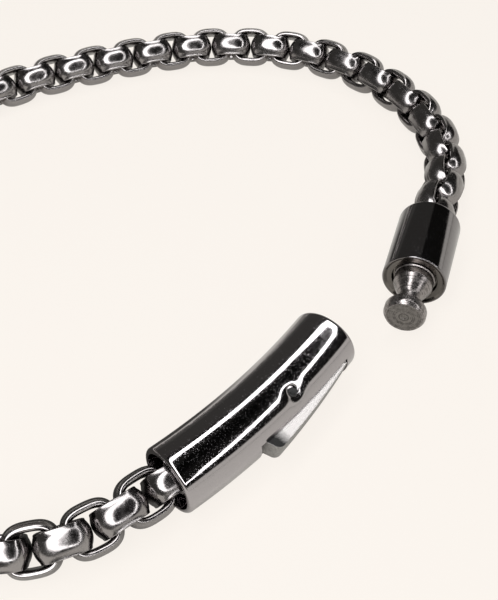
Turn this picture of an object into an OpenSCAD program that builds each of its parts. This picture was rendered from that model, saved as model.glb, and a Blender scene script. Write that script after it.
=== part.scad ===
// Rounded box chain bracelet with a curved tube clasp, lying open on a table.
// The clasp tube has a sprung side lever; the other end of the chain carries an end cap
// with a turned stud, which goes into the tube's mouth.
// Millimetres, +Z up. The origin is on the table, under the middle of the whole bracelet.

/* [Chain link] */
// Outer size of a link, along and across the chain
link_size = 4.75; // [4.65:0.05:4.8]
// Width of the band that a link is made of
band_width = 2.5; // [2.4:0.05:2.55]
// Thickness of the band at its crest
band_depth = 0.85; // [0.8:0.05:0.85]
// Thickness of the band at its edges
edge_depth = 0.4; // [0.35:0.05:0.45]
// Distance from one link's centre to the next
link_pitch = 2.55; // [2.5:0.01:2.6]
// Roll of the links about the chain's line, to either side in turn
link_roll = 45; // [43:1:47]

/* [Clasp tube] */
// Outer diameter of the tube and of the end cap
clasp_od = 6.5; // [6.4:0.1:6.7]
// Wall of the tube and of the end cap
clasp_wall = 0.5; // [0.45:0.05:0.5]
// Radius of the tube's bend, at its middle line
bend_radius = 79; // [77:1:81]
// Angle that the tube bends through
bend_angle = 15.45; // [15.25:0.1:15.65]
// Roll of the bend out of the table's plane, concave side up
bend_roll = 15; // [12:1:18]
// Radius of the straight socket in the mouth
socket_r = 2.35; // [2.3:0.05:2.4]
// Depth of the straight socket
socket_depth = 1.4; // [1.3:0.05:1.5]

/* [Lever] */
// Width of the lever, along its pin
lever_width = 2.6; // [2.4:0.1:2.7]
// How far the lever stands proud of the tube when it lies parallel to it
lever_proud = 0.55; // [0.5:0.05:0.6]
// Angle of the lever's thumb end out of the tube at rest
lever_open = 5.8; // [5:0.2:6.2]
// Radius of the pivot pin
pin_r = 0.45; // [0.4:0.01:0.5]

/* [End cap and stud] */
// Length of the end cap
cap_length = 8.8; // [8.4:0.1:9.2]
// Radius of the stud's head
stud_head_r = 2.1; // [2.0:0.05:2.15]
// Length of the stud beyond the end cap
stud_length = 5.2; // [5.1:0.05:5.3]

/* [Hidden] */

$fn = 96;
small_fn = 48;
bend_fn = 720;
// How far a cutting shape reaches past the faces that it cuts
past = 1;
steel = [0.36, 0.37, 0.39];
dark_steel = [0.22, 0.22, 0.24];
turned_steel = [0.5, 0.49, 0.48];

// The route of the chain over the table, from the tube round to the end cap.
// Each row turns a number of links in a row by the same angle, seen from above.
// [links, turn per link in degrees]
turn_rows = [
    [3, -1.2],
    [6, -7.6],
    [8, -5.7],
    [9, -4.2],
    [8, -3.7],
    [9, -3.6],
    [6, -1.6],
    [5, -4.7],
    [4, -6.5],
    [5, -5.9],
    [6, -7.6],
    [3, 0.9]
];
route_start = [-4.6, -22.3];
route_heading = 219;

// Links that the chain takes to climb from the table to the clasp
climb_links = 5;
// Links at either end that lie level with the clasp, and how far they hang below its middle
level_links = 1;
end_sag = 0.2;
// Room under the chain, which the tilted links at the foot of the climb need
table_gap = 0.02;
// Twist of the chain's first links, and the number of links that it fades over
near_twist = 18;
twist_links = 11;

// How deep the middle of the end link lies in the tube and in the end cap
tube_link_depth = 2.9;
cap_link_depth = 1.5;

// The dome across a link's band: a circle through the crest and both edges
dome_drop = band_depth - edge_depth;
dome_r = (pow(band_width / 2, 2) + pow(dome_drop, 2)) / (2 * dome_drop);
dome_centre = link_size / 2 - dome_r;
hole_size = link_size - 2 * band_depth;
corner_r = link_size * 0.555;
hole_corner_r = hole_size * 0.66;

// Height of the chain's line over the table: the rolled links rest on their domes
chain_z = dome_centre * cos(link_roll) + dome_r + table_gap;
clasp_r = clasp_od / 2;
end_z = clasp_r - end_sag;

// One turn per link, spread out from the rows
turns = [for (row = turn_rows) for (k = [1 : row[0]]) row[1]];
link_count = len(turns) + 1;
near_links = ceil(link_count / 2);
headings = [
    for (i = 0, a = route_heading; i < link_count; a = a + (i < len(turns) ? turns[i] : 0), i = i + 1) a
];

// Height of the chain's line at one link, eased between the table and the clasp
function ease(t) = t <= 0 ? 0 : t >= 1 ? 1 : (1 - cos(180 * t)) / 2;
function height(i) = let (from_end = min(i, link_count - 1 - i))
    end_z - (end_z - chain_z) * ease((from_end - level_links) / climb_links);
function roll(i) = (i % 2 == 0 ? link_roll : -link_roll) + near_twist * (1 - ease(i / twist_links));
function slope(i) = asin((height(i + 1) - height(i - 1)) / (2 * link_pitch));

// Horizontal step from one link to the next, halfway between their headings
function step(i) = let (a = (headings[i] + headings[i + 1]) / 2, rise = height(i + 1) - height(i))
    sqrt(pow(link_pitch, 2) - pow(rise, 2)) * [cos(a), sin(a)];

// Middles of all links
centres = [
    for (
        i = 0, p = route_start;
        i < link_count;
        p = i + 1 < link_count ? p + step(i) : p, i = i + 1
    ) [p[0], p[1], height(i)]
];

// The loop is moved so that its box is centred on the origin
route_x = [for (p = centres) p[0]];
route_y = [for (p = centres) p[1]];
loop_centre = [(min(route_x) + max(route_x)) / 2, (min(route_y) + max(route_y)) / 2, 0];

function place(i) = centres[i] - loop_centre;
function along(i) = [cos(headings[i]), sin(headings[i]), 0];

// Points of the clasp tube's bend plane: s along the middle line from the back end,
// out away from it towards the convex side
function bend_at(s) = s / bend_radius * 180 / PI;
function bent(s, out) = let (a = bend_at(s))
    [(bend_radius + out) * sin(a), bend_radius - (bend_radius + out) * cos(a)];
tube_length = bend_radius * bend_angle * PI / 180;
bore_r = clasp_r - clasp_wall;
back_bevel = 0.2;
mouth_bevel = 0.4;
// Turn of the tube's back end from the chain's first heading
clasp_turn = 1.2;
// How far the straight socket runs on into the bent bore
socket_overlap = 0.4;

// The lever's slot and outline, along the tube's middle line and away from it
slot_start = 7.9;
slot_end = tube_length - socket_depth - 0.1;
slot_gap = 0.15;
slot_floor = 1.5;
pin_s = 13.1;
pin_out = 1.45;
pin_recess = 0.2;
pin_fit = 0.05;
pin_seat = 0.02;
lever_tip_s = slot_end - 0.4;
lever_tip_bevel = 0.4;
lever_thumb_s = 9.5;
lever_thumb_back = 1.2;
lever_under = 2.6;
lever_thumb_under = 1.9;
lever_steps = 10;
thumb_round = 0.7;
thumb_arc = 62;
thumb_steps = 6;
// The boss round the pin, the neck that joins it to the lever, and the slope beside it
boss_r = 0.95;
neck_half = 0.85;
neck_overlap = 0.3;
boss_slope = 1.2;
// The nose that catches behind the stud's head
nose_start = 17.5;
nose_end = 18.25;
nose_out = 2.05;
nose_slope = 0.3;

// The bar in the tube and in the cap that the chain's end link hangs on
cross_bar_r = 0.45;
cross_bar_offset = 0.85;

// The end cap's hollow back, and the seat that the stud stands in
cap_hollow = 4.2;
cap_round = 0.4;
seat_r = 2.25;
seat_depth = 0.45;
tenon_r = 1.0;
tenon_depth = 1.6;
tenon_fit = 0.02;
tenon_gap = 0.1;
face_inset = 0.2;
face_r = clasp_r - 0.35;
rim_land = 0.12;

// The stud's turned outline
stud_base_r = 2.0;
stud_base_top = 0.7;
stud_cone_top = 2.35;
stud_neck_r = 1.0;
stud_neck_top = 3.55;
stud_round = 0.3;
stud_pip_r = 0.3;
stud_pip_depth = 0.12;

// Two domes back to back, as a bar along z
module dome_pair() {
    for (side = [-1, 1])
        translate([side * dome_centre, 0, 0])
            cylinder(h = link_size + past, r = dome_r, center = true);
}

// One link: a rounded square ring about y, domed outside and flat inside
module link() {
    difference() {
        intersection() {
            rotate([90, 0, 0])
                rotate_extrude()
                    intersection() {
                        translate([0, -band_width / 2])
                            square([corner_r, band_width]);
                        translate([corner_r - dome_r, 0])
                            circle(r = dome_r);
                    }
            dome_pair();
            rotate([0, 90, 0])
                dome_pair();
        }
        intersection() {
            cube([hole_size, band_width + past, hole_size], center = true);
            rotate([90, 0, 0])
                cylinder(h = band_width + 2 * past, r = hole_corner_r, center = true);
        }
    }
}

module links(first, last) {
    for (i = [first : last])
        translate(place(i))
            rotate([0, -slope(i), headings[i]])
                rotate([roll(i), 0, 0])
                    link();
}

module chain_near() {
    color(steel)
        links(0, near_links - 1);
}

module chain_far() {
    color(steel)
        links(near_links, link_count - 1);
}

// Places its children on the tube's back end, with x towards the mouth and y to the concave side
module at_tube() {
    translate(place(0) + along(0) * tube_link_depth + [0, 0, end_sag])
        rotate([0, 0, route_heading - 180 + clasp_turn])
            rotate([bend_roll, 0, 0])
                children();
}

// Sweeps a flat shape along the bend, from one distance to another on the middle line
module swept(from, to) {
    translate([0, bend_radius, 0])
        rotate([0, 0, bend_at(from) - 90])
            rotate_extrude(angle = bend_at(to) - bend_at(from), $fn = bend_fn)
                translate([bend_radius, 0])
                    children();
}

module at_mouth() {
    middle = bent(tube_length, 0);
    translate([middle[0], middle[1], 0])
        rotate([0, 0, bend_angle])
            rotate([0, 90, 0])
                children();
}

// Bevels the outer edge of a tube's end, whose face looks along +z at z = 0
module rim_cut(bevel) {
    rotate_extrude()
        polygon([
            [clasp_r - bevel - past, past],
            [clasp_r + past, past],
            [clasp_r + past, -bevel - past]
        ]);
}

module clasp_tube() {
    color(steel)
        at_tube() {
            difference() {
                swept(0, tube_length)
                    circle(r = clasp_r);
                rotate([0, -90, 0])
                    rim_cut(back_bevel);
                at_mouth()
                    rim_cut(mouth_bevel);
                swept(-past, tube_length - socket_depth)
                    circle(r = bore_r);
                at_mouth()
                    translate([0, 0, -socket_depth - socket_overlap])
                        cylinder(h = socket_depth + socket_overlap + past, r = socket_r);
                swept(slot_start, slot_end)
                    translate([slot_floor, -lever_width / 2 - slot_gap])
                        square([clasp_r, lever_width + 2 * slot_gap]);
                translate([bent(pin_s, pin_out)[0], bent(pin_s, pin_out)[1], 0])
                    cylinder(h = clasp_od + past, r = pin_r + pin_seat, center = true, $fn = small_fn);
            }
            // The bar that the chain's end link hangs on
            translate([tube_link_depth + cross_bar_offset, 0, 0])
                rotate([90 - roll(0) - bend_roll, 0, 0])
                    cylinder(h = 2 * bore_r + clasp_wall, r = cross_bar_r, center = true, $fn = small_fn);
        }
}

// Points on an arc, from one angle to another
function arc(centre, r, from, to, steps) =
    [for (k = [0 : steps]) let (a = from + (to - from) * k / steps) centre + r * [cos(a), sin(a)]];

// The lever's outline when it lies parallel to the tube
module lever_outline() {
    top = clasp_r + lever_proud;
    outer = [
        for (k = [1 : lever_steps])
            bent(lever_thumb_s + (lever_tip_s - lever_thumb_s) * k / lever_steps, top)
    ];
    thumb = bent(lever_thumb_s, top - thumb_round);
    lean = bend_at(lever_thumb_s);
    polygon(concat(
        [bent(lever_thumb_s - lever_thumb_back, lever_thumb_under)],
        arc(thumb, thumb_round, lean - 90 - thumb_arc, lean - 90, thumb_steps),
        outer,
        [
            bent(lever_tip_s, lever_under + lever_tip_bevel),
            bent(nose_end + nose_slope, lever_under),
            bent(nose_end, nose_out),
            bent(nose_start, nose_out),
            bent(nose_start, lever_under),
            bent(pin_s + boss_r, lever_under),
            bent(pin_s - boss_r - boss_slope, lever_thumb_under)
        ]
    ));
}

module clasp_lever() {
    pin = bent(pin_s, pin_out);
    color(steel)
        at_tube()
            translate([pin[0], pin[1], 0])
                rotate([0, 0, lever_open])
                    translate([-pin[0], -pin[1], 0])
                        difference() {
                            linear_extrude(lever_width, center = true)
                                union() {
                                    lever_outline();
                                    polygon([
                                        bent(pin_s - neck_half, pin_out),
                                        bent(pin_s - neck_half, lever_under + neck_overlap),
                                        bent(pin_s + neck_half, lever_under + neck_overlap),
                                        bent(pin_s + neck_half, pin_out)
                                    ]);
                                    translate(pin)
                                        circle(r = boss_r, $fn = small_fn);
                                }
                            translate([pin[0], pin[1], 0])
                                cylinder(h = lever_width + past, r = pin_r + pin_fit, center = true, $fn = small_fn);
                        }
}

module pivot_pin() {
    pin = bent(pin_s, pin_out);
    half = sqrt(pow(clasp_r, 2) - pow(pin_out, 2)) - pin_recess;
    color(dark_steel)
        at_tube()
            translate([pin[0], pin[1], 0])
                cylinder(h = 2 * half, r = pin_r, center = true, $fn = small_fn);
}

// Places its children on the end cap's back end, with z towards the stud
module at_cap() {
    last = link_count - 1;
    translate(place(last) - along(last) * cap_link_depth + [0, 0, end_sag])
        rotate([0, 90, headings[last]])
            children();
}

module end_cap() {
    seat = cap_length - face_inset - seat_depth;
    color(dark_steel)
        at_cap() {
            rotate_extrude()
                difference() {
                    square([clasp_r, cap_length]);
                    // Rounded edge at the back
                    translate([clasp_r - cap_round, cap_round])
                        rotate(-90)
                            difference() {
                                square(cap_round + past);
                                circle(r = cap_round, $fn = small_fn);
                            }
                    // Hollow back
                    translate([-past, -past])
                        square([bore_r + past, cap_hollow + past]);
                    // Inset face, bevelled rim
                    polygon([
                        [-past, cap_length + past],
                        [clasp_r, cap_length + past],
                        [clasp_r - rim_land, cap_length],
                        [face_r, cap_length - face_inset],
                        [-past, cap_length - face_inset]
                    ]);
                    // Seat and hole for the stud
                    translate([-past, seat])
                        square([seat_r + past, seat_depth + past]);
                    translate([-past, seat - tenon_depth - tenon_gap])
                        square([tenon_r + past, tenon_depth + past]);
                }
            // The bar that the chain's end link hangs on
            translate([0, 0, cap_link_depth + cross_bar_offset])
                rotate([90, 0, roll(link_count - 1)])
                    cylinder(h = 2 * bore_r + clasp_wall, r = cross_bar_r, center = true, $fn = small_fn);
        }
}

module stud() {
    seat = cap_length - face_inset - seat_depth;
    face = cap_length;
    tip = face + stud_length;
    color(turned_steel)
        at_cap()
            rotate_extrude()
                difference() {
                    union() {
                        translate([0, seat - tenon_depth])
                            square([tenon_r - tenon_fit, tenon_depth + tenon_gap]);
                        polygon([
                            [0, seat],
                            [stud_base_r, seat],
                            [stud_base_r, face + stud_base_top],
                            [stud_neck_r, face + stud_cone_top],
                            [stud_neck_r, face + stud_neck_top],
                            [stud_head_r - stud_round, face + stud_neck_top],
                            [stud_head_r - stud_round, tip],
                            [0, tip]
                        ]);
                        translate([stud_head_r - stud_round, face + stud_neck_top + stud_round])
                            square([stud_round, stud_length - stud_neck_top - 2 * stud_round]);
                        for (z = [face + stud_neck_top + stud_round, tip - stud_round])
                            translate([stud_head_r - stud_round, z])
                                circle(r = stud_round, $fn = small_fn);
                    }
                    translate([-past, tip - stud_pip_depth])
                        square([stud_pip_r + past, past]);
                }
}

chain_far();
chain_near();
clasp_tube();
clasp_lever();
pivot_pin();
end_cap();
stud();
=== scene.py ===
"""A rounded box chain bracelet with a curved tube clasp, lying open on a pale table."""
import math

import bmesh
import bpy
import numpy as np
from mathutils import Matrix


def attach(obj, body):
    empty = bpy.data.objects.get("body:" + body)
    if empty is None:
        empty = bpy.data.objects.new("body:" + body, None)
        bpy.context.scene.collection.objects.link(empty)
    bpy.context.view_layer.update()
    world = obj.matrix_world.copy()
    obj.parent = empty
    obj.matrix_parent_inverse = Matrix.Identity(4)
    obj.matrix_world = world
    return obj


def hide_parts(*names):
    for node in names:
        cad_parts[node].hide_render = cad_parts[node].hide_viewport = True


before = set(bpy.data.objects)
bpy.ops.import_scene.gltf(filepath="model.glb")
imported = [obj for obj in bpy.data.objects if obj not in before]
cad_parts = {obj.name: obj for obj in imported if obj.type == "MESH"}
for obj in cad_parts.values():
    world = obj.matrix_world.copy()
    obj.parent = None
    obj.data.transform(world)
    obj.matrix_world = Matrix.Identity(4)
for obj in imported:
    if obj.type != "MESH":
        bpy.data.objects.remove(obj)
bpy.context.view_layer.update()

MM = 0.001

# Sizes, in millimetres and degrees, as in the CAD source

LINK_SIZE = 4.75
BAND_WIDTH = 2.5
BAND_DEPTH = 0.85
EDGE_DEPTH = 0.4
LINK_PITCH = 2.55
LINK_ROLL = 45
CLASP_R = 3.25
END_SAG = 0.2
TABLE_GAP = 0.02
CLIMB_LINKS = 5
LEVEL_LINKS = 1
NEAR_TWIST = 18
TWIST_LINKS = 11
# (links, turn per link in degrees)
TURN_ROWS = [
    (3, -1.2), (6, -7.6), (8, -5.7), (9, -4.2), (8, -3.7), (9, -3.6),
    (6, -1.6), (5, -4.7), (4, -6.5), (5, -5.9), (6, -7.6), (3, 0.9),
]
ROUTE_START = (-4.6, -22.3)
ROUTE_HEADING = 219
TUBE_LINK_DEPTH = 2.9
CAP_LINK_DEPTH = 1.5
CLASP_WALL = 0.5
BEND_RADIUS = 79
BEND_ANGLE = 15.45
BEND_ROLL = 15
CLASP_TURN = 1.2
COLLAR_R = 2.35
COLLAR_DEPTH = 1.4
COLLAR_LAND = 0.1
SLOT_START = 7.9
SLOT_HALF = 1.45
LEVER_TIP_GAP = 0.4
LEVER_HALF = 1.3
LEVER_PROUD = 0.55
LEVER_OPEN = 5.8
LEVER_UNDER = 2.6
THUMB_S = 9.5
THUMB_BACK = 1.2
THUMB_ROUND = 0.7
PIN_S = 13.1
PIN_OUT = 1.45
PIN_HOLE_R = 0.47
CAP_LENGTH = 8.8
STUD_LENGTH = 5.2


# The route of the chain

def ease(t):
    """A soft rise from 0 at t = 0 to 1 at t = 1."""
    return 0 if t <= 0 else 1 if t >= 1 else (1 - math.cos(math.pi * t)) / 2


turns = [turn for count, turn in TURN_ROWS for _ in range(count)]
headings = np.concatenate([[ROUTE_HEADING], ROUTE_HEADING + np.cumsum(turns)])
link_count = len(headings)
dome_drop = BAND_DEPTH - EDGE_DEPTH
dome_r = ((BAND_WIDTH / 2) ** 2 + dome_drop ** 2) / (2 * dome_drop)
chain_z = (LINK_SIZE / 2 - dome_r) * math.cos(math.radians(LINK_ROLL)) + dome_r + TABLE_GAP
end_z = CLASP_R - END_SAG


def height(i):
    """Height of the chain's line at one link."""
    from_end = min(i, link_count - 1 - i)
    return end_z - (end_z - chain_z) * ease((from_end - LEVEL_LINKS) / CLIMB_LINKS)


def slope(i):
    """Climb of the chain's line at one link, in radians."""
    return math.asin((height(i + 1) - height(i - 1)) / (2 * LINK_PITCH))


def roll(i):
    """Roll of one link about the chain's line, in degrees."""
    return (LINK_ROLL if i % 2 == 0 else -LINK_ROLL) + NEAR_TWIST * (1 - ease(i / TWIST_LINKS))


def route():
    """Middles of all links, and the middle of their box."""
    points = [(*ROUTE_START, height(0))]
    for i in range(link_count - 1):
        angle = math.radians((headings[i] + headings[i + 1]) / 2)
        rise = height(i + 1) - height(i)
        flat = math.sqrt(LINK_PITCH ** 2 - rise ** 2)
        x, y, z = points[-1]
        points.append((x + flat * math.cos(angle), y + flat * math.sin(angle), height(i + 1)))
    points = np.array(points)
    middle = (points.min(0) + points.max(0)) / 2
    middle[2] = 0
    return points - middle, middle


centres, loop_centre = route()


def spin(axis, degrees):
    return np.array(Matrix.Rotation(math.radians(degrees), 3, axis))


def heading_vector(i):
    """The direction of one link, seen from above."""
    angle = math.radians(headings[i])
    return np.array([math.cos(angle), math.sin(angle), 0])


# Building meshes

# Points closer than this, in metres, are one point
WELD = 1e-7
# The map of each piece's outline, in millimetres, and the radius that a lathe's turns are measured at there
OUTLINE_MAP = "turning"
TURN_RADIUS = 2


def new_piece(name, points, faces, material, body, node, uv=None, sharp=40):
    """A smooth mesh piece in place of a node, from points in millimetres in the CAD's frame.

    Edges are sharp above an angle in degrees.
    """
    mesh = bpy.data.meshes.new(name)
    mesh.from_pydata((np.asarray(points) * MM).tolist(), [], [tuple(int(v) for v in f) for f in faces])
    if uv is not None:
        layer = mesh.uv_layers.new(name=OUTLINE_MAP)
        corners = np.zeros(len(mesh.loops), int)
        mesh.loops.foreach_get("vertex_index", corners)
        layer.data.foreach_set("uv", np.asarray(uv, float)[corners].ravel())
    outward = bmesh.new()
    outward.from_mesh(mesh)
    bmesh.ops.remove_doubles(outward, verts=outward.verts, dist=WELD)
    bmesh.ops.recalc_face_normals(outward, faces=outward.faces)
    outward.to_mesh(mesh)
    outward.free()
    mesh.shade_smooth()
    mesh.set_sharp_from_angle(angle=math.radians(sharp))
    mesh.materials.append(material)
    piece = bpy.data.objects.new(name, mesh)
    bpy.context.scene.collection.objects.link(piece)
    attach(piece, body)
    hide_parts(node)


def grid_faces(rows, columns, wrap_rows=False, wrap_columns=False, skip=()):
    """Quads of a grid of points that are numbered row by row, without the skipped (row, column) cells."""
    faces = []
    for r in range(rows if wrap_rows else rows - 1):
        for c in range(columns if wrap_columns else columns - 1):
            if (r, c) in skip:
                continue
            r1, c1 = (r + 1) % rows, (c + 1) % columns
            faces.append([r * columns + c, r1 * columns + c, r1 * columns + c1, r * columns + c1])
    return faces


def filleted(corners, steps=6):
    """A polyline through (a, b, radius) corners, each rounded by its radius."""
    line = []
    for k, (a, b, radius) in enumerate(corners):
        here = np.array([a, b], float)
        if radius == 0 or k in (0, len(corners) - 1):
            line.append(here)
            continue
        before = np.array(corners[k - 1][:2]) - here
        after = np.array(corners[k + 1][:2]) - here
        before, after = before / np.linalg.norm(before), after / np.linalg.norm(after)
        half = math.acos(max(-1, min(1, float(before @ after)))) / 2
        reach = radius / math.tan(half)
        bisector = (before + after) / np.linalg.norm(before + after)
        middle = here + bisector * radius / math.sin(half)
        first, last = here + before * reach - middle, here + after * reach - middle
        swing = math.atan2(first[0] * last[1] - first[1] * last[0], first @ last)
        for t in np.linspace(0, swing, steps + 1):
            c, s = math.cos(t), math.sin(t)
            line.append(middle + np.array([first[0] * c - first[1] * s, first[0] * s + first[1] * c]))
    return np.array(line)


def lathe(name, corners, to_world, material, node, columns):
    """A turned piece on the root body, from (along, radius, fillet) corners that run from axis to axis."""
    line = filleted(corners)
    run = np.concatenate([[0], np.cumsum(np.linalg.norm(np.diff(line, axis=0), axis=1))])
    angle = np.linspace(0, 2 * math.pi, columns, endpoint=False)
    points = np.stack([
        np.outer(line[:, 1], np.cos(angle)),
        np.outer(line[:, 1], np.sin(angle)),
        np.repeat(line[:, :1], columns, 1),
    ], -1).reshape(-1, 3)
    uv = np.stack([np.tile(angle * TURN_RADIUS, len(line)), np.repeat(run, columns)], 1)
    faces = grid_faces(len(line), columns, wrap_columns=True)
    new_piece(name, to_world(points), faces, material, "root", node, uv)


# Materials

# Noise scales, per metre, of the specks, the blotches and the grain where two colours blend
SPECK_SCALE = 7000
BLOTCH_SCALE = 3000
BLEND_SCALE = 6000
# How far the blotches break up the marks of turning
BLOTCH = 0.9
# Where the noises start to show and where they show in full
POLISH_RANGE = (0.35, 0.7)
SPECK_RANGE = (0.52, 0.76)
MARK_RANGE = (0.43 + BLOTCH / 2, 0.65 + BLOTCH / 2)
# Heights of the grain and of the marks of turning, in metres
GRAIN_RELIEF = 0.00005
MARK_RELIEF = 0.00003
MARK_COLOR = (0.03, 0.028, 0.026)


def shader(material):
    """The material's emptied node tree and its new output."""
    material.use_nodes = True
    tree = material.node_tree
    tree.nodes.clear()
    output = tree.nodes.new("ShaderNodeOutputMaterial")
    return tree, output


def link_nodes(tree, from_node, from_socket, to_node, to_socket):
    tree.links.new(from_node.outputs[from_socket], to_node.inputs[to_socket])


def object_noise(tree, scale, detail):
    """Noise over the piece's own coordinates."""
    where = tree.nodes.new("ShaderNodeTexCoord")
    noise = tree.nodes.new("ShaderNodeTexNoise")
    noise.inputs["Scale"].default_value = scale
    noise.inputs["Detail"].default_value = detail
    link_nodes(tree, where, "Object", noise, "Vector")
    return noise


def map_range(tree, node, socket, source, target=(0, 1)):
    """A value that is mapped from one range to another and kept inside it."""
    mapped = tree.nodes.new("ShaderNodeMapRange")
    for name, value in zip(("From Min", "From Max", "To Min", "To Max"), (*source, *target)):
        mapped.inputs[name].default_value = value
    link_nodes(tree, node, socket, mapped, "Value")
    return mapped


def add_noise(tree, socket, noise, amount):
    """The socket's value with some noise added."""
    total = tree.nodes.new("ShaderNodeMath")
    total.operation = "MULTIPLY_ADD"
    link_nodes(tree, noise, "Fac", total, 0)
    total.inputs[1].default_value = amount
    tree.links.new(socket, total.inputs[2])
    return total


def surface_of(tree):
    return next(node for node in tree.nodes if node.type == "BSDF_PRINCIPLED")


def add_bump(tree, height, strength, relief):
    """Relief on top of what the surface already has."""
    normal = surface_of(tree).inputs["Normal"]
    bump = tree.nodes.new("ShaderNodeBump")
    bump.inputs["Strength"].default_value = strength
    bump.inputs["Distance"].default_value = relief
    link_nodes(tree, height, "Fac", bump, "Height")
    if normal.links:
        tree.links.new(normal.links[0].from_socket, bump.inputs["Normal"])
    tree.links.new(bump.outputs["Normal"], normal)


def mix_color(tree, share, color):
    """Another colour that takes its share of what the surface already has."""
    base = surface_of(tree).inputs["Base Color"]
    mix = tree.nodes.new("ShaderNodeMix")
    mix.data_type = "RGBA"
    factor, first, second = mix.inputs[0], mix.inputs[6], mix.inputs[7]
    first.default_value = base.default_value
    second.default_value = (*color, 1)
    if base.links:
        tree.links.new(base.links[0].from_socket, first)
    tree.links.new(share.outputs["Result"], factor)
    tree.links.new(mix.outputs[2], base)


def steel(name, color, rough, grain_scale, grain_bump, speck_rough):
    """Steel with polish that varies between two roughnesses, a soft grain and small duller specks."""
    material = bpy.data.materials.new(name)
    tree, output = shader(material)
    bsdf = tree.nodes.new("ShaderNodeBsdfPrincipled")
    bsdf.inputs["Base Color"].default_value = (*color, 1)
    bsdf.inputs["Metallic"].default_value = 1
    grain = object_noise(tree, grain_scale, 6)
    polish = map_range(tree, grain, "Fac", POLISH_RANGE, rough)
    specks = map_range(tree, object_noise(tree, SPECK_SCALE, 2), "Fac", SPECK_RANGE, (0, speck_rough))
    both = tree.nodes.new("ShaderNodeMath")
    link_nodes(tree, polish, "Result", both, 0)
    link_nodes(tree, specks, "Result", both, 1)
    link_nodes(tree, both, "Value", bsdf, "Roughness")
    add_bump(tree, grain, grain_bump, GRAIN_RELIEF)
    link_nodes(tree, bsdf, "BSDF", output, "Surface")
    return material


def outline_socket(tree, axis):
    """The place on the piece's own outline, in millimetres, from its mesh."""
    outline = tree.nodes.new("ShaderNodeUVMap")
    outline.uv_map = OUTLINE_MAP
    parts = tree.nodes.new("ShaderNodeSeparateXYZ")
    link_nodes(tree, outline, "UV", parts, "Vector")
    return parts.outputs[axis]


def add_marks(material, mark_scale, mark_bump, mark_tone):
    """Fine dark marks of turning across the piece's outline, broken up into blotches."""
    tree = material.node_tree
    marks = tree.nodes.new("ShaderNodeTexNoise")
    marks.noise_dimensions = "1D"
    marks.inputs["Scale"].default_value = mark_scale
    marks.inputs["Detail"].default_value = 3
    tree.links.new(outline_socket(tree, "Y"), marks.inputs["W"])
    add_bump(tree, marks, mark_bump, MARK_RELIEF)
    uneven = add_noise(tree, marks.outputs["Fac"], object_noise(tree, BLOTCH_SCALE, 3), BLOTCH)
    mix_color(tree, map_range(tree, uneven, "Value", MARK_RANGE, (0, mark_tone)), MARK_COLOR)


def shade_along(material, axis, start, end, color, grain=0.0):
    """Another colour from a place on the piece's outline on, with grain where the two blend."""
    tree = material.node_tree
    place = add_noise(tree, outline_socket(tree, axis), object_noise(tree, BLEND_SCALE, 2), grain)
    mix_color(tree, map_range(tree, place, "Value", (start + grain / 2, end + grain / 2)), color)


# Places on the outlines of the cap, the stud and the lever where their colour changes: the cap's and the
# stud's end faces are darker, and on the lever a painted dark reflection gives way to a painted white
# highlight
CAP_FACE_FROM = 16.0
STUD_FACE_FROM = 9.0
FACE_BLEND = 0.1
LEVER_PAINTED_DARK_TO = 9.3
LEVER_PAINTED_HIGHLIGHT_FROM = 10.4
LEVER_RIM_PAINTED_TONE = 9.65

link_steel = steel("link_steel", (0.345, 0.325, 0.324), (0.14, 0.27), 1200, 0.15, 0.1)
tube_steel = steel("tube_steel", (0.455, 0.431, 0.442), (0.03, 0.08), 700, 0.03, 0.24)
# The lever's colour is painted: nearly black towards its thumb as a painted dark reflection, grey on its
# rim, and near-white across the front of its flank as a painted highlight
lever_steel_painted_reflection = steel("lever_steel_painted_reflection", (0.045, 0.045, 0.045), (0.5, 0.52), 900, 0.01, 0.02)
shade_along(lever_steel_painted_reflection, "X", LEVER_PAINTED_DARK_TO, LEVER_PAINTED_HIGHLIGHT_FROM, (1.0, 0.965, 0.95), 0.5)
# The pin's ends are painted nearly black, as painted shade inside the sunk hole
pin_steel = steel("pin_steel", (0.06, 0.06, 0.06), (0.25, 0.5), 2500, 0.1, 0.3)
cap_steel = steel("cap_steel", (0.285, 0.272, 0.278), (0.04, 0.11), 900, 0.02, 0.16)
shade_along(cap_steel, "Y", CAP_FACE_FROM, CAP_FACE_FROM + FACE_BLEND, (0.175, 0.161, 0.15))
add_marks(cap_steel, 6, 0.1, 0.1)
turned_steel = steel("turned_steel", (0.389, 0.358, 0.352), (0.2, 0.36), 1800, 0.25, 0.25)
shade_along(turned_steel, "Y", STUD_FACE_FROM, STUD_FACE_FROM + FACE_BLEND, (0.225, 0.209, 0.2), 0.1)
add_marks(turned_steel, 7, 0.2, 0.6)

# The chain's links

# The links look a little broader and longer than the CAD's, which stay clear of each other
SQUARENESS = 2.8
LOOK_WIDTH = 2.62
LINK_REACH = 2.53
PATH_STEPS = 72
PATH_SAMPLES = 4001
# Rounding of the band's edges, and the angle that it runs through
EDGE_ROUND = 0.27
EDGE_WRAP = 165
DOME_STEPS = 7
EDGE_STEPS = 9
# Share of the crest's width that the band's inside has
INSIDE_WIDTH = 0.9


def superellipse(long, high, count):
    """Evenly spaced points on a rounded square in x and z, and the outward direction there."""
    t = np.linspace(0, 2 * math.pi, PATH_SAMPLES)
    c, s = np.cos(t), np.sin(t)
    x = long * np.sign(c) * np.abs(c) ** (2 / SQUARENESS)
    z = high * np.sign(s) * np.abs(s) ** (2 / SQUARENESS)
    run = np.concatenate([[0], np.cumsum(np.hypot(np.diff(x), np.diff(z)))])
    even = np.linspace(0, run[-1], count, endpoint=False)
    x, z = np.interp(even, run, x), np.interp(even, run, z)
    out = np.stack([np.sign(x) * (np.abs(x) / long) ** (SQUARENESS - 1) / long,
                    np.sign(z) * (np.abs(z) / high) ** (SQUARENESS - 1) / high], 1)
    return np.stack([x, z], 1), out / np.linalg.norm(out, axis=1)[:, None]


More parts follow.
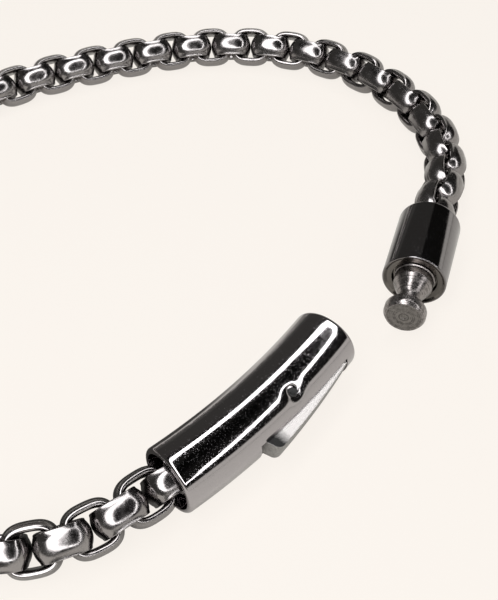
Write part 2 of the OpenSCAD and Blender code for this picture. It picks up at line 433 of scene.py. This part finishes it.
def band_profile():
    """The band's section, as distance across and depth below the crest: one half and its mirror image."""
    flat = LOOK_WIDTH / 2 - EDGE_ROUND
    dome = [(w, dome_r - math.sqrt(dome_r ** 2 - w ** 2)) for w in np.linspace(0, flat, DOME_STEPS)]
    tilt = math.asin(flat / dome_r)
    middle = dome[-1][1] + EDGE_ROUND * math.cos(tilt)
    edge = [
        (flat + EDGE_ROUND * math.sin(a), middle - EDGE_ROUND * math.cos(a))
        for a in np.linspace(tilt, math.radians(EDGE_WRAP), EDGE_STEPS)
    ][1:]
    right = dome + edge + [(flat * INSIDE_WIDTH, BAND_DEPTH), (0, BAND_DEPTH)]
    left = [(-w, d) for w, d in reversed(right[1:-1])]
    return np.array(right + left)


def link_points():
    """One link's points, path step by path step, as a ring about y with x along the chain."""
    crest, out = superellipse(LINK_REACH, LINK_SIZE / 2, PATH_STEPS)
    profile = band_profile()
    ring = crest[:, None, :] - out[:, None, :] * profile[None, :, 1, None]
    across = np.broadcast_to(profile[None, :, 0], ring.shape[:2])
    return np.stack([ring[..., 0], across, ring[..., 1]], -1).reshape(-1, 3), len(profile)


def place_of(i):
    """The turn of one link from its own frame into the CAD's."""
    return spin("Z", headings[i]) @ spin("Y", -math.degrees(slope(i))) @ spin("X", roll(i))


def chain(node, first, last):
    """The links of one node, from the first to the last."""
    shape, columns = link_points()
    faces = np.array(grid_faces(PATH_STEPS, columns, wrap_rows=True, wrap_columns=True))
    points, all_faces = [], []
    for k, i in enumerate(range(first, last + 1)):
        points.append(shape @ place_of(i).T + centres[i])
        all_faces.append(faces + k * len(shape))
    new_piece(node + "_links", np.concatenate(points), np.concatenate(all_faces), link_steel,
              "root", node)


near_links = math.ceil(link_count / 2)
chain("chain_near", 0, near_links - 1)
chain("chain_far", near_links, link_count - 1)

# The clasp tube

TUBE_LENGTH = BEND_RADIUS * math.radians(BEND_ANGLE)
BORE_R = CLASP_R - CLASP_WALL
SLOT_END = TUBE_LENGTH - COLLAR_DEPTH - COLLAR_LAND
PIN_ANGLE = math.acos(PIN_OUT / CLASP_R)
MOUTH_ROUND, BACK_ROUND, LIP_ROUND = 0.45, 0.38, 0.08
# How far the wall's rounded ends reach along the tube
BACK_REACH = 2
MOUTH_REACH = 1.2
# Rows of the wall behind the slot, outside and inside
OUTER_ROWS = 20
INNER_ROWS = 12
# Reach of the fine square patch round each pin hole, and its rows and columns
PATCH = 2.05
PATCH_STEPS = 14
# Rows of the slot before and after the patch
SLOT_LEAD = 14
SLOT_TAIL = 26
# Columns from the slot to the patch, from the patch to the far side, and across the slot
EDGE_COLUMNS = 6
WALL_COLUMNS = 46
SLOT_COLUMNS = 10
# Rings from the patch's border to the hole, and how they crowd towards it
HOLE_RINGS = 8
RING_CROWD = 1.3
# Rounding of the hole's edge, and depths of the rings inside it
HOLE_ROUND = 0.12
HOLE_DROPS = [0.03, 0.1, 0.2, 0.32, 0.45]
# The dimple round the hole, which lies towards the lever
DIMPLE_DEPTH, DIMPLE_WIDTH, DIMPLE_SHIFT = 0.17, 1.28, 0.3
TUBE_SHARP = 50

tube_turn = spin("Z", ROUTE_HEADING - 180 + CLASP_TURN) @ spin("X", BEND_ROLL)
tube_back = centres[0] + heading_vector(0) * TUBE_LINK_DEPTH + np.array([0, 0, END_SAG])


def bent(s, out, z=0.0):
    """Points of the tube: s along its middle line from the back, out towards the convex side, z across."""
    s, out, z = np.broadcast_arrays(np.asarray(s, float), out, z)
    a = s / BEND_RADIUS
    return np.stack([(BEND_RADIUS + out) * np.sin(a), BEND_RADIUS - (BEND_RADIUS + out) * np.cos(a), z], -1)


def tube_world(points):
    return np.asarray(points) @ tube_turn.T + tube_back


def spread(stops, counts):
    """Numbers from stop to stop, each stretch divided into its count of steps."""
    parts = [np.linspace(a, b, n, endpoint=False) for a, b, n in zip(stops[:-1], stops[1:], counts)]
    return np.concatenate(parts + [[stops[-1]]])


def tube_sections():
    """The wall's outline as (s, radius), the slot's first outer and inner rows, and its count of rows."""
    slot_s = spread([SLOT_START, PIN_S - PATCH, PIN_S + PATCH, SLOT_END],
                    [SLOT_LEAD, PATCH_STEPS, SLOT_TAIL])
    back = filleted([(BACK_REACH, BORE_R, 0), (0, BORE_R, LIP_ROUND), (0, CLASP_R, BACK_ROUND),
                     (BACK_REACH, CLASP_R, 0)])
    mouth = filleted([(TUBE_LENGTH - MOUTH_REACH, CLASP_R, 0), (TUBE_LENGTH, CLASP_R, MOUTH_ROUND),
                      (TUBE_LENGTH, COLLAR_R, LIP_ROUND), (TUBE_LENGTH - COLLAR_DEPTH, COLLAR_R, LIP_ROUND),
                      (TUBE_LENGTH - COLLAR_DEPTH, BORE_R, 0)], 10)
    lead = [(s, CLASP_R) for s in np.linspace(BACK_REACH, SLOT_START, OUTER_ROWS)[1:-1]]
    outer = [(s, CLASP_R) for s in slot_s]
    inner = [(s, BORE_R) for s in slot_s[::-1]]
    tail = [(s, BORE_R) for s in np.linspace(SLOT_START, BACK_REACH, INNER_ROWS)[1:-1]]
    rows = np.array([*back, *lead, *outer, *mouth, *inner, *tail])
    first_outer = len(back) + len(lead)
    first_inner = first_outer + len(outer) + len(mouth)
    return rows, first_outer, first_inner, len(slot_s)


def square_border(row, column, steps):
    """Places (row, column) round a square patch of cells, in order."""
    ahead = range(steps)
    return ([(row, column + k) for k in ahead] + [(row + k, column + steps) for k in ahead]
            + [(row + steps, column + steps - k) for k in ahead]
            + [(row + steps - k, column) for k in ahead])


def add_pin_hole(points, uv, faces, border, sign):
    """Adds the dimple and the hole inside a patch's border, on one side (1) or the other (-1)."""
    spots = np.array([uv[v] for v in border]) - np.array([PIN_S, sign * PIN_ANGLE * CLASP_R])
    toward = np.arctan2(spots[:, 1], spots[:, 0])
    around = np.stack([np.cos(toward), np.sin(toward)], 1)
    rings = [(t, 0) for t in np.linspace(1, 0, HOLE_RINGS + 1)[1:]] + [(0, drop) for drop in HOLE_DROPS]
    for t, drop in rings:
        radius = PIN_HOLE_R + HOLE_ROUND - math.sqrt(min(drop, HOLE_ROUND) * HOLE_ROUND)
        flat = around * radius
        flat = flat + (spots - flat) * t ** RING_CROWD
        away = np.hypot(flat[:, 0], flat[:, 1] + sign * DIMPLE_SHIFT)
        dimple = DIMPLE_DEPTH * np.clip(1 - (away - PIN_HOLE_R) / DIMPLE_WIDTH, 0, 1) ** 2
        wall_r = CLASP_R - dimple - drop
        angle = sign * PIN_ANGLE + flat[:, 1] / CLASP_R
        ring = list(range(len(points), len(points) + len(border)))
        points.extend(bent(PIN_S + flat[:, 0], wall_r * np.cos(angle), wall_r * np.sin(angle)))
        uv.extend(np.stack([PIN_S + flat[:, 0], angle * CLASP_R], 1))
        for k in range(len(border)):
            n = (k + 1) % len(border)
            faces.append([border[n], ring[n], ring[k], border[k]])
        border = ring
    faces.append(border)


def tube_mesh():
    """The tube's points, faces and places on its outline."""
    rows, first_outer, first_inner, slot_rows = tube_sections()
    s, r = rows[:, :1], rows[:, 1:]
    slot_edge = math.asin(SLOT_HALF / CLASP_R)
    reach = PATCH / CLASP_R
    half = spread([slot_edge, PIN_ANGLE - reach, PIN_ANGLE + reach, math.pi],
                  [EDGE_COLUMNS, PATCH_STEPS, WALL_COLUMNS])
    # Angles round the wall: from the slot's one edge to its other edge, and back across the slot
    edge = np.arcsin(np.minimum(SLOT_HALF / r, 1))
    side = edge + (math.pi - edge) * (half - slot_edge) / (math.pi - slot_edge)
    across = np.linspace(-SLOT_HALF, SLOT_HALF, SLOT_COLUMNS + 1)[1:-1]
    angle = np.concatenate([side, -side[:, -2::-1], np.arcsin(across / r)], 1)
    columns = angle.shape[1]
    last_side = columns - SLOT_COLUMNS
    points = list(bent(s, r * np.cos(angle), r * np.sin(angle)).reshape(-1, 3))
    uv = list(np.stack([np.broadcast_to(s, angle.shape), angle * CLASP_R], -1).reshape(-1, 2))

    patch_row = first_outer + SLOT_LEAD
    patches = [(EDGE_COLUMNS, 1), (last_side - EDGE_COLUMNS - PATCH_STEPS, -1)]
    last_row = slot_rows - 1
    skip = {(first + k, c) for first in (first_outer, first_inner)
            for k in range(last_row) for c in range(last_side, columns)}
    skip |= {(patch_row + k, first_column + c) for first_column, _ in patches
             for k in range(PATCH_STEPS) for c in range(PATCH_STEPS)}
    faces = grid_faces(len(rows), columns, wrap_rows=True, wrap_columns=True, skip=skip)

    def at(row, column):
        return row % len(rows) * columns + column % columns

    def wall(a, b):
        """A face through the wall between two places (slot row, column) on the slot's edge."""
        return ([at(first_outer + k, c) for k, c in (a, b)]
                + [at(first_inner + last_row - k, c) for k, c in (b, a)])

    for k in range(last_row):
        faces += [wall((k + 1, last_side), (k, last_side)), wall((k, 0), (k + 1, 0))]
    for c in range(last_side, columns):
        faces += [wall((0, c + 1), (0, c)), wall((last_row, c), (last_row, c + 1))]
    for first_column, sign in patches:
        border = [at(*place) for place in square_border(patch_row, first_column, PATCH_STEPS)]
        add_pin_hole(points, uv, faces, border, sign)
    return tube_world(points), faces, uv


tube_points, tube_faces, tube_uv = tube_mesh()
new_piece("tube_shell", tube_points, tube_faces, tube_steel, "root", "clasp_tube",
          tube_uv, TUBE_SHARP)

# The lever and its pin

LEVER_BEVEL = 0.13
LEVER_FOOT_BEVEL = 0.35
BEVEL_STEPS = 5
# Width of the flat ring inside each bevel
BEVEL_LAND = 0.06
# Share of the upper bevel's height below which the rim has its own tone, a painted grey reflection
RIM_FROM = 0.2
LEVER_SHARP = 35
# Longest piece of the lever's outline, and what keeps its sharp corners from moving far
OUTLINE_STEP = 0.5
CORNER_LIMIT = 0.6
TIP_RISE = 0.4
THUMB_UNDER = 1.9
BOSS_R = 0.95
BOSS_SLOPE = 1.2
BOSS_FLAT = 0.5
BOSS_DROP = 0.8
NECK_HALF = 0.85
NOSE = (17.5, 18.25, 18.55)
NOSE_OUT = 2.05
PIN_R = 0.45
PIN_ROUND = 0.08
# How deep the pin's ends lie below the tube's round
PIN_SUNK = 0.2


def fine(line, longest):
    """The closed line with added points, so that no piece of it is longer than that."""
    points = []
    for a, b in zip(line, np.roll(line, -1, 0)):
        steps = max(1, math.ceil(np.linalg.norm(b - a) / longest))
        points.extend(a + (b - a) * k / steps for k in range(steps))
    return np.array(points)


def lever_outline():
    """The lever's side view as (s, out), against the clock from its tip's underside."""
    top = CLASP_R + LEVER_PROUD
    tip = SLOT_END - LEVER_TIP_GAP
    corners = [
        (NOSE[2], LEVER_UNDER, 0), (tip, LEVER_UNDER + TIP_RISE, 0.15), (tip, top, 0.12),
        (THUMB_S - THUMB_ROUND, top, THUMB_ROUND), (THUMB_S - THUMB_BACK, THUMB_UNDER, 0.2),
        (PIN_S - BOSS_R - BOSS_SLOPE, THUMB_UNDER, 0.3), (PIN_S - NECK_HALF, LEVER_UNDER, 0),
        (PIN_S - NECK_HALF, PIN_OUT, 0), (PIN_S - BOSS_FLAT, PIN_OUT - BOSS_DROP, 0.4),
        (PIN_S + BOSS_FLAT, PIN_OUT - BOSS_DROP, 0.4), (PIN_S + NECK_HALF, PIN_OUT, 0),
        (PIN_S + NECK_HALF, LEVER_UNDER, 0), (NOSE[0], LEVER_UNDER, 0), (NOSE[0], NOSE_OUT, 0.1),
        (NOSE[1], NOSE_OUT, 0.1), (NOSE[2], LEVER_UNDER, 0),
    ]
    return fine(filleted(corners, 7)[:-1], OUTLINE_STEP)


def inset(line, amount):
    """A closed outline against the clock, moved inwards."""
    edge = np.roll(line, -1, 0) - line
    edge /= np.linalg.norm(edge, axis=1)[:, None]
    inward = np.stack([-edge[:, 1], edge[:, 0]], 1)
    both = inward + np.roll(inward, 1, 0)
    return line + both / np.maximum((both * inward).sum(1), CORNER_LIMIT)[:, None] * amount


def lever_mesh():
    """The lever's points, faces and places on its outline, with a finer bevel on its upper side."""
    outline = lever_outline()
    count = len(outline)
    rings, heights, rim = [], [], []
    for side, radius in ((-1, LEVER_FOOT_BEVEL), (1, LEVER_BEVEL)):
        turns_in = np.linspace(0, math.pi / 2, BEVEL_STEPS)
        bevel = [(radius + BEVEL_LAND, 0)]
        bevel += [(radius * (1 - math.sin(a)), radius * (1 - math.cos(a))) for a in turns_in]
        for inwards, down in bevel if side < 0 else bevel[::-1]:
            rings.append(inset(outline, inwards))
            heights.append(side * (LEVER_HALF - down))
            rim.append(down > LEVER_BEVEL * RIM_FROM)
    flat = np.concatenate(rings)
    points = bent(flat[:, 0], flat[:, 1], np.repeat(heights, count))
    pin = bent(PIN_S, PIN_OUT)
    points = (points - pin) @ spin("Z", LEVER_OPEN).T + pin
    faces = grid_faces(len(rings), count, wrap_columns=True)
    faces.append(list(range(count)))
    faces.append(list(range(len(flat) - count, len(flat))))
    # The rim's rings take one fixed place on the outline, where the painted reflection is grey
    uv = np.stack([np.where(np.repeat(rim, count), LEVER_RIM_PAINTED_TONE, flat[:, 0]), flat[:, 1]], 1)
    return tube_world(points), faces, uv


def pin_world(points):
    """Points that lie about the pin's axis, with z along it, in the CAD's frame."""
    return tube_world(points + bent(PIN_S, PIN_OUT))


lever_points, lever_faces, lever_uv = lever_mesh()
new_piece("lever_body", lever_points, lever_faces, lever_steel_painted_reflection, "lever", "clasp_lever",
          lever_uv, LEVER_SHARP)
pin_end = math.sqrt(CLASP_R ** 2 - PIN_OUT ** 2) - PIN_SUNK
pin_outline = [(-pin_end, 0, 0), (-pin_end, PIN_R, PIN_ROUND), (pin_end, PIN_R, PIN_ROUND), (pin_end, 0, 0)]
lathe("pin_rod", pin_outline, pin_world, pin_steel, "pivot_pin", columns=48)

# The end cap and its stud

# Outlines as (along, radius, fillet), the cap's from its back end and the stud's from the cap's front end
CAP_OUTLINE = [
    (4.2, 0, 0), (4.2, BORE_R, 0.1), (0, BORE_R, 0.08), (0, CLASP_R, 0.42), (CAP_LENGTH, CLASP_R, 0.1),
    (CAP_LENGTH - 0.02, CLASP_R - 0.2, 0.06), (CAP_LENGTH - 0.22, CLASP_R - 0.42, 0.06),
    (CAP_LENGTH - 0.22, 2.32, 0.05), (CAP_LENGTH - 0.65, 2.25, 0.05), (CAP_LENGTH - 0.65, 0, 0),
]
STUD_OUTLINE = [
    (-0.64, 0, 0), (-0.64, 2.1, 0.05), (-0.2, 2.1, 0.1), (-0.12, 1.98, 0.05), (0.7, 1.98, 0.12),
    (2.35, 1.12, 0.5), (3.55, 1.02, 0.12), (3.62, 1.8, 0.12), (4.1, 2.1, 0.35), (4.8, 2.1, 0.42),
    (STUD_LENGTH, 1.84, 0.06), (STUD_LENGTH - 0.06, 1.74, 0.04), (STUD_LENGTH - 0.06, 0.3, 0.02),
    (STUD_LENGTH - 0.12, 0.22, 0.02), (STUD_LENGTH - 0.12, 0, 0),
]

cap_turn = spin("Z", headings[-1]) @ spin("Y", 90)
cap_back = centres[-1] - heading_vector(-1) * CAP_LINK_DEPTH + np.array([0, 0, END_SAG])


def cap_world(points):
    return np.asarray(points) @ cap_turn.T + cap_back


lathe("cap_body", CAP_OUTLINE, cap_world, cap_steel, "end_cap", columns=192)
lathe("stud_body", [(CAP_LENGTH + along, radius, fillet) for along, radius, fillet in STUD_OUTLINE],
      cap_world, turned_steel, "stud", columns=192)

# Camera

# Elevation and turn in degrees, height in millimetres, and the place on the floor under the picture's
# middle, in millimetres from the middle of the route's own frame
ELEVATION = 47.0
YAW = 0.1
CAMERA_HEIGHT = 79.2
AIM = (0.07, 0.05)
# Focal length and long side of the picture, in its pixels, and the sensor's long side in millimetres
FOCAL_PX = 1054.0
LONG_SIDE_PX = 600
SENSOR = 36


def camera_place():
    """Where the camera stands, in millimetres in the CAD's frame."""
    aim = np.array([*AIM, 0]) - loop_centre
    forward = spin("Z", YAW) @ np.array([0, 1, 0])
    back = CAMERA_HEIGHT / math.tan(math.radians(ELEVATION))
    return aim - forward * back + np.array([0, 0, CAMERA_HEIGHT])


camera = bpy.data.objects.new("camera", bpy.data.cameras.new("camera"))
bpy.context.scene.collection.objects.link(camera)
camera.location = camera_place() * MM
camera.rotation_euler = (math.radians(90 - ELEVATION), 0, math.radians(YAW))
camera.data.sensor_width = SENSOR
camera.data.lens = FOCAL_PX * SENSOR / LONG_SIDE_PX
camera.data.clip_start, camera.data.clip_end = 0.005, 10
bpy.context.scene.camera = camera

# Floor

FLOOR_HALF = 1500
FLOOR_COLOR = (0.955, 0.904, 0.848)
ROOM_GREY = (0.76, 0.74, 0.69)
# Brightness of the paper's own glow, and the share of its look that comes from the lamp instead
FLOOR_GLOW = 1.01
FLOOR_LIT = 0.08
MIRRORED_LIT = 0.65
# Shaded places on the floor, which the metal mirrors: (x, y, dark up to, light from)
FLOOR_SHADES = [(14, 16, 6, 15), (-6, -20, 13, 20)]
SHADE_TONE = 0.1


def glow_or_lit(tree, color, strength, lit_share):
    """A surface that partly glows by itself and partly shows the light on it."""
    glow = tree.nodes.new("ShaderNodeEmission")
    glow.inputs["Color"].default_value = (*color, 1)
    glow.inputs["Strength"].default_value = strength
    lit = tree.nodes.new("ShaderNodeBsdfDiffuse")
    lit.inputs["Color"].default_value = (*color, 1)
    mix = tree.nodes.new("ShaderNodeMixShader")
    mix.inputs["Fac"].default_value = lit_share
    link_nodes(tree, glow, 0, mix, 1)
    link_nodes(tree, lit, 0, mix, 2)
    return mix


def floor_material():
    """Pale paper, which the metal mirrors as the same grey as the room's lower walls."""
    material = bpy.data.materials.new("paper")
    tree, output = shader(material)
    where = tree.nodes.new("ShaderNodeTexCoord")
    darkest = tree.nodes.new("ShaderNodeMath")
    darkest.operation = "MINIMUM"
    for k, (x, y, start, end) in enumerate(FLOOR_SHADES):
        away = tree.nodes.new("ShaderNodeVectorMath")
        away.operation = "DISTANCE"
        away.inputs[1].default_value = (x * MM, y * MM, 0)
        link_nodes(tree, where, "Object", away, 0)
        shade = map_range(tree, away, "Value", (start * MM, end * MM), (SHADE_TONE, 1))
        link_nodes(tree, shade, "Result", darkest, k)
    # The first input stays open, which is black
    mirrored = tree.nodes.new("ShaderNodeMixShader")
    link_nodes(tree, darkest, 0, mirrored, "Fac")
    link_nodes(tree, glow_or_lit(tree, ROOM_GREY, 1, MIRRORED_LIT), 0, mirrored, 2)
    path = tree.nodes.new("ShaderNodeLightPath")
    both = tree.nodes.new("ShaderNodeMixShader")
    link_nodes(tree, path, "Is Camera Ray", both, "Fac")
    link_nodes(tree, mirrored, 0, both, 1)
    link_nodes(tree, glow_or_lit(tree, FLOOR_COLOR, FLOOR_GLOW, FLOOR_LIT), 0, both, 2)
    link_nodes(tree, both, 0, output, "Surface")
    return material


def stage_mesh(name, points, faces, material):
    """A mesh that isn't part of the bracelet, from points in millimetres."""
    mesh = bpy.data.meshes.new(name)
    mesh.from_pydata((np.asarray(points) * MM).tolist(), [], faces)
    mesh.materials.append(material)
    thing = bpy.data.objects.new(name, mesh)
    bpy.context.scene.collection.objects.link(thing)
    return thing


floor_corners = [(-FLOOR_HALF, -FLOOR_HALF, 0), (FLOOR_HALF, -FLOOR_HALF, 0),
                 (FLOOR_HALF, FLOOR_HALF, 0), (-FLOOR_HALF, FLOOR_HALF, 0)]
stage_mesh("floor", floor_corners, [(0, 1, 2, 3)], floor_material())

# Light

# Middle line of the lamp's frame on its plane, and half the frame's width there: (x, y, half)
LAMP_FRAME = [
    (30, 62, 19), (48, 64, 14), (78, 52, 9), (115, 33, 8.5), (148, 12, 9.5), (176, -16, 14), (202, -60, 20),
    (272, -185, 22), (235, -300, 36), (60, -310, 45), (-30, -200, 60), (-46, -80, 43), (-24, -15, 23),
    (4, 38, 15),
]
LAMP_HEIGHT = 150
LAMP_STRENGTH = 5.0


def light_frame(name, corners, z, strength):
    """A flat closed band of light from its middle line and half widths, which the camera doesn't see."""
    material = bpy.data.materials.new(name)
    tree, output = shader(material)
    glow = tree.nodes.new("ShaderNodeEmission")
    glow.inputs["Strength"].default_value = strength
    link_nodes(tree, glow, 0, output, "Surface")
    count = len(corners)
    middle = np.array([corner[:2] for corner in corners], float)
    points = []
    for k, (_, _, half) in enumerate(corners):
        before, after = middle[k] - middle[k - 1], middle[(k + 1) % count] - middle[k]
        along = before / np.linalg.norm(before) + after / np.linalg.norm(after)
        across = np.array([-along[1], along[0]]) / np.linalg.norm(along)
        for side in (-1, 1):
            points.append((*(middle[k] + across * half * side), z))
    faces = [(2 * k, 2 * k + 1, (2 * k + 3) % (2 * count), (2 * k + 2) % (2 * count)) for k in range(count)]
    stage_mesh(name, points, faces, material).visible_camera = False


light_frame("frame_lamp", LAMP_FRAME, LAMP_HEIGHT, LAMP_STRENGTH)

# The room's brightness by direction, as (from, to), (value there, value here): the walls end a little above
# the table and are brightest on the right, and the ceiling is dark, most of all on the right and overhead
WALL_TOP = (0.16, 0.23), (1, 0)
WALL_SIDE = (0.05, 0.42), (0.14, 1)
CEILING_SIDE = (0.22, 0.28), (0.085, 0.015)
CEILING_TOP = (0.74, 0.88), (1, 0.25)


def studio_world():
    """A dark room with grey lower walls."""
    world = bpy.data.worlds.new("studio")
    world.use_nodes = True
    tree = world.node_tree
    back = tree.nodes["Background"]
    where = tree.nodes.new("ShaderNodeTexCoord")
    parts = tree.nodes.new("ShaderNodeSeparateXYZ")
    link_nodes(tree, where, "Generated", parts, "Vector")

    def ramp(axis, ranges):
        node = map_range(tree, parts, axis, *ranges)
        node.interpolation_type = "SMOOTHSTEP"
        return node

    def combine(operation, a, b):
        node = tree.nodes.new("ShaderNodeMath")
        node.operation = operation
        link_nodes(tree, a, 0, node, 0)
        link_nodes(tree, b, 0, node, 1)
        return node

    wall = combine("MULTIPLY", ramp("Z", WALL_TOP), ramp("X", WALL_SIDE))
    ceiling = combine("MULTIPLY", ramp("X", CEILING_SIDE), ramp("Z", CEILING_TOP))
    link_nodes(tree, combine("MAXIMUM", wall, ceiling), "Value", back, "Strength")
    back.inputs["Color"].default_value = (*ROOM_GREY, 1)
    return world


bpy.context.scene.world = studio_world()
bpy.context.scene.view_settings.view_transform = "Standard"
